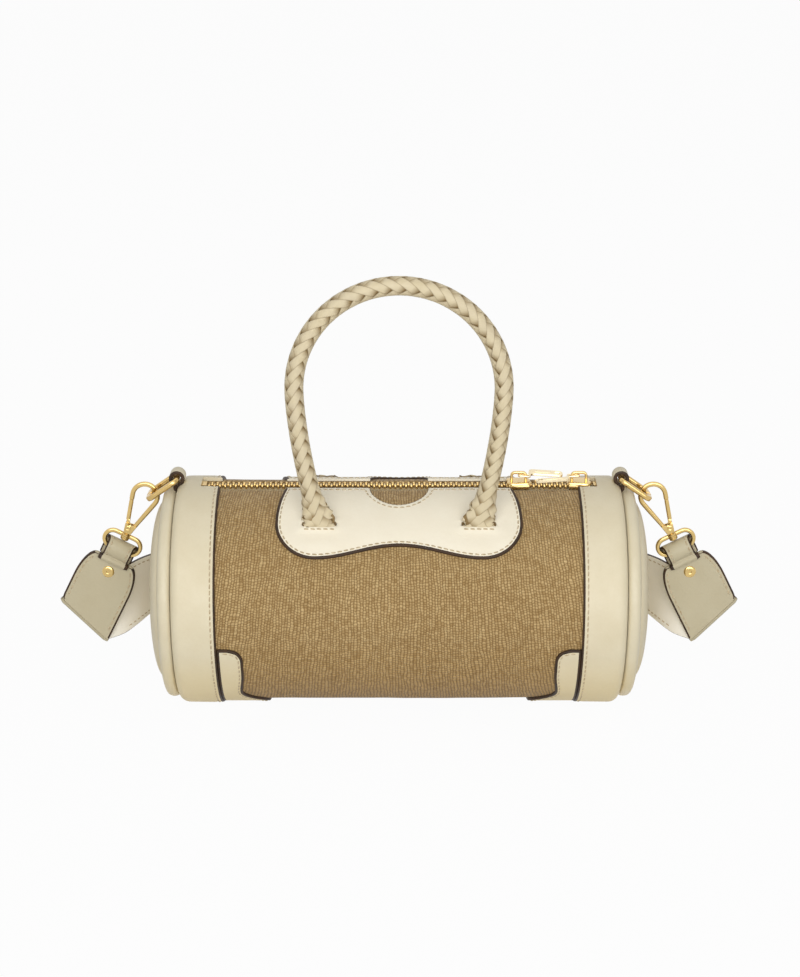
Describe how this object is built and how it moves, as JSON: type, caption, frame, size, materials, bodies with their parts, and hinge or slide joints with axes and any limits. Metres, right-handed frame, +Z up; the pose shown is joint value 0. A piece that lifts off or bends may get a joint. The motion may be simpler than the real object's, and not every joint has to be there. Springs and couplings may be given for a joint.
{
  "type": "barrel crossbody bag",
  "caption": "Small woven barrel bag with leather ends, braided top handles, a double zip and a clip-on leather shoulder strap folded behind it.",
  "frame": {"origin": "on the table, in the middle of the flat strip that the barrel rests on", "axes": "+X along the barrel to the end with the zip sliders, +Y to the back where the strap lies, +Z up"},
  "size_m": [0.3408, 0.1915, 0.2206],
  "materials": {
    "canvas": "natural undyed woven cloth, matt",
    "board": "stiffening board, matt",
    "lining": "thin plain lining cloth",
    "cream_leather": "cream smooth leather, semi-matt",
    "roll_leather": "cream leather over padding",
    "patch_leather": "cream smooth leather with dark painted edge",
    "braid_leather": "plaited leather strips",
    "zip_tape": "woven tape, matt",
    "zip_metal": "pale gold metal teeth",
    "slider_metal": "pale gold metal, polished",
    "ring_metal": "pale gold metal, polished",
    "hook_metal": "pale gold metal, polished",
    "spring_steel": "spring wire",
    "strap_leather": "cream smooth leather with dark painted edge"
  },
  "bodies": {
    "bag": {"body_panel": "canvas", "body_board": "board", "lining_tube": "lining", "band_left": "cream_leather", "band_right": "cream_leather", "end_roll_left": "roll_leather", "end_roll_right": "roll_leather", "end_panel_left": "cream_leather", "end_panel_right": "cream_leather", "end_board_left": "board", "end_board_right": "board", "lining_end_left": "lining", "lining_end_right": "lining", "base_patch_left": "patch_leather", "base_patch_right": "patch_leather", "handle_patch_front": "patch_leather", "handle_patch_rear": "patch_leather", "handle_tails_front": "braid_leather", "handle_tails_rear": "braid_leather", "zip_tape_front": "zip_tape", "zip_tape_rear": "zip_tape", "zip_teeth_front": "zip_metal", "zip_teeth_rear": "zip_metal", "zip_stops": "zip_metal", "ring_tab_left": "cream_leather", "ring_tab_right": "cream_leather", "swivel_loop_left": "ring_metal", "swivel_loop_right": "ring_metal", "strap_tab_left": "strap_leather", "strap_tab_right": "strap_leather", "strap_rivet_left": "ring_metal", "strap_rivet_right": "ring_metal", "strap": "strap_leather"},
    "handle_front": {"handle_front": "braid_leather"},
    "handle_rear": {"handle_rear": "braid_leather"},
    "slider_left": {"slider_left": "slider_metal"},
    "slider_right": {"slider_right": "slider_metal"},
    "pull_left": {"pull_left": "slider_metal"},
    "pull_right": {"pull_right": "slider_metal"},
    "ring_left": {"ring_left": "ring_metal"},
    "ring_right": {"ring_right": "ring_metal"},
    "hook_left": {"hook_left": "hook_metal", "gate_pin_left": "hook_metal", "gate_spring_left": "spring_steel"},
    "hook_right": {"hook_right": "hook_metal", "gate_pin_right": "hook_metal", "gate_spring_right": "spring_steel"},
    "gate_left": {"gate_left": "hook_metal"},
    "gate_right": {"gate_right": "hook_metal"}
  },
  "joints": [
    {"name": "handle_front_swing", "type": "hinge", "parent": "bag", "child": "handle_front", "pos_m": [0, -0.03337, 0.10264], "axis": [1, 0, 0], "range_deg": [-13, 121]},
    {"name": "handle_rear_swing", "type": "hinge", "parent": "bag", "child": "handle_rear", "pos_m": [0, 0.03337, 0.10264], "axis": [1, 0, 0], "range_deg": [0, 134]},
    {"name": "slider_left_slide", "type": "slide", "parent": "bag", "child": "slider_left", "axis": [1, 0, 0], "range_m": [-0.146, 0]},
    {"name": "slider_right_slide", "type": "slide", "parent": "bag", "child": "slider_right", "axis": [1, 0, 0], "range_m": [-0.014, 0.002]},
    {"name": "pull_left_flip", "type": "hinge", "parent": "slider_left", "child": "pull_left", "pos_m": [0.0585, 0, 0.11545], "axis": [0, -1, 0], "range_deg": [0, 170]},
    {"name": "pull_right_flip", "type": "hinge", "parent": "slider_right", "child": "pull_right", "pos_m": [0.088, 0, 0.11545], "axis": [0, 1, 0], "range_deg": [0, 170]},
    {"name": "ring_left_swing", "type": "hinge", "parent": "bag", "child": "ring_left", "pos_m": [-0.1083, 0, 0.1147], "axis": [0, 1, 0], "range_deg": [-2, 8]},
    {"name": "ring_right_swing", "type": "hinge", "parent": "bag", "child": "ring_right", "pos_m": [0.1083, 0, 0.1147], "axis": [0, -1, 0], "range_deg": [-2, 8]},
    {"name": "hook_left_swivel", "type": "hinge", "parent": "bag", "child": "hook_left", "pos_m": [-0.1349, 0, 0.0846], "axis": [0.454, 0, 0.891], "range_deg": [-20, 20]},
    {"name": "hook_right_swivel", "type": "hinge", "parent": "bag", "child": "hook_right", "pos_m": [0.1349, 0, 0.0846], "axis": [-0.454, 0, 0.891], "range_deg": [-20, 20]},
    {"name": "gate_left_open", "type": "hinge", "parent": "hook_left", "child": "gate_left", "pos_m": [-0.13355, 0, 0.08863], "axis": [0, 1, 0], "range_deg": [0, 22], "stiffness_Nm_per_rad": 0.02},
    {"name": "gate_right_open", "type": "hinge", "parent": "hook_right", "child": "gate_right", "pos_m": [0.13355, 0, 0.08863], "axis": [0, -1, 0], "range_deg": [0, 22], "stiffness_Nm_per_rad": 0.02}
  ]
}
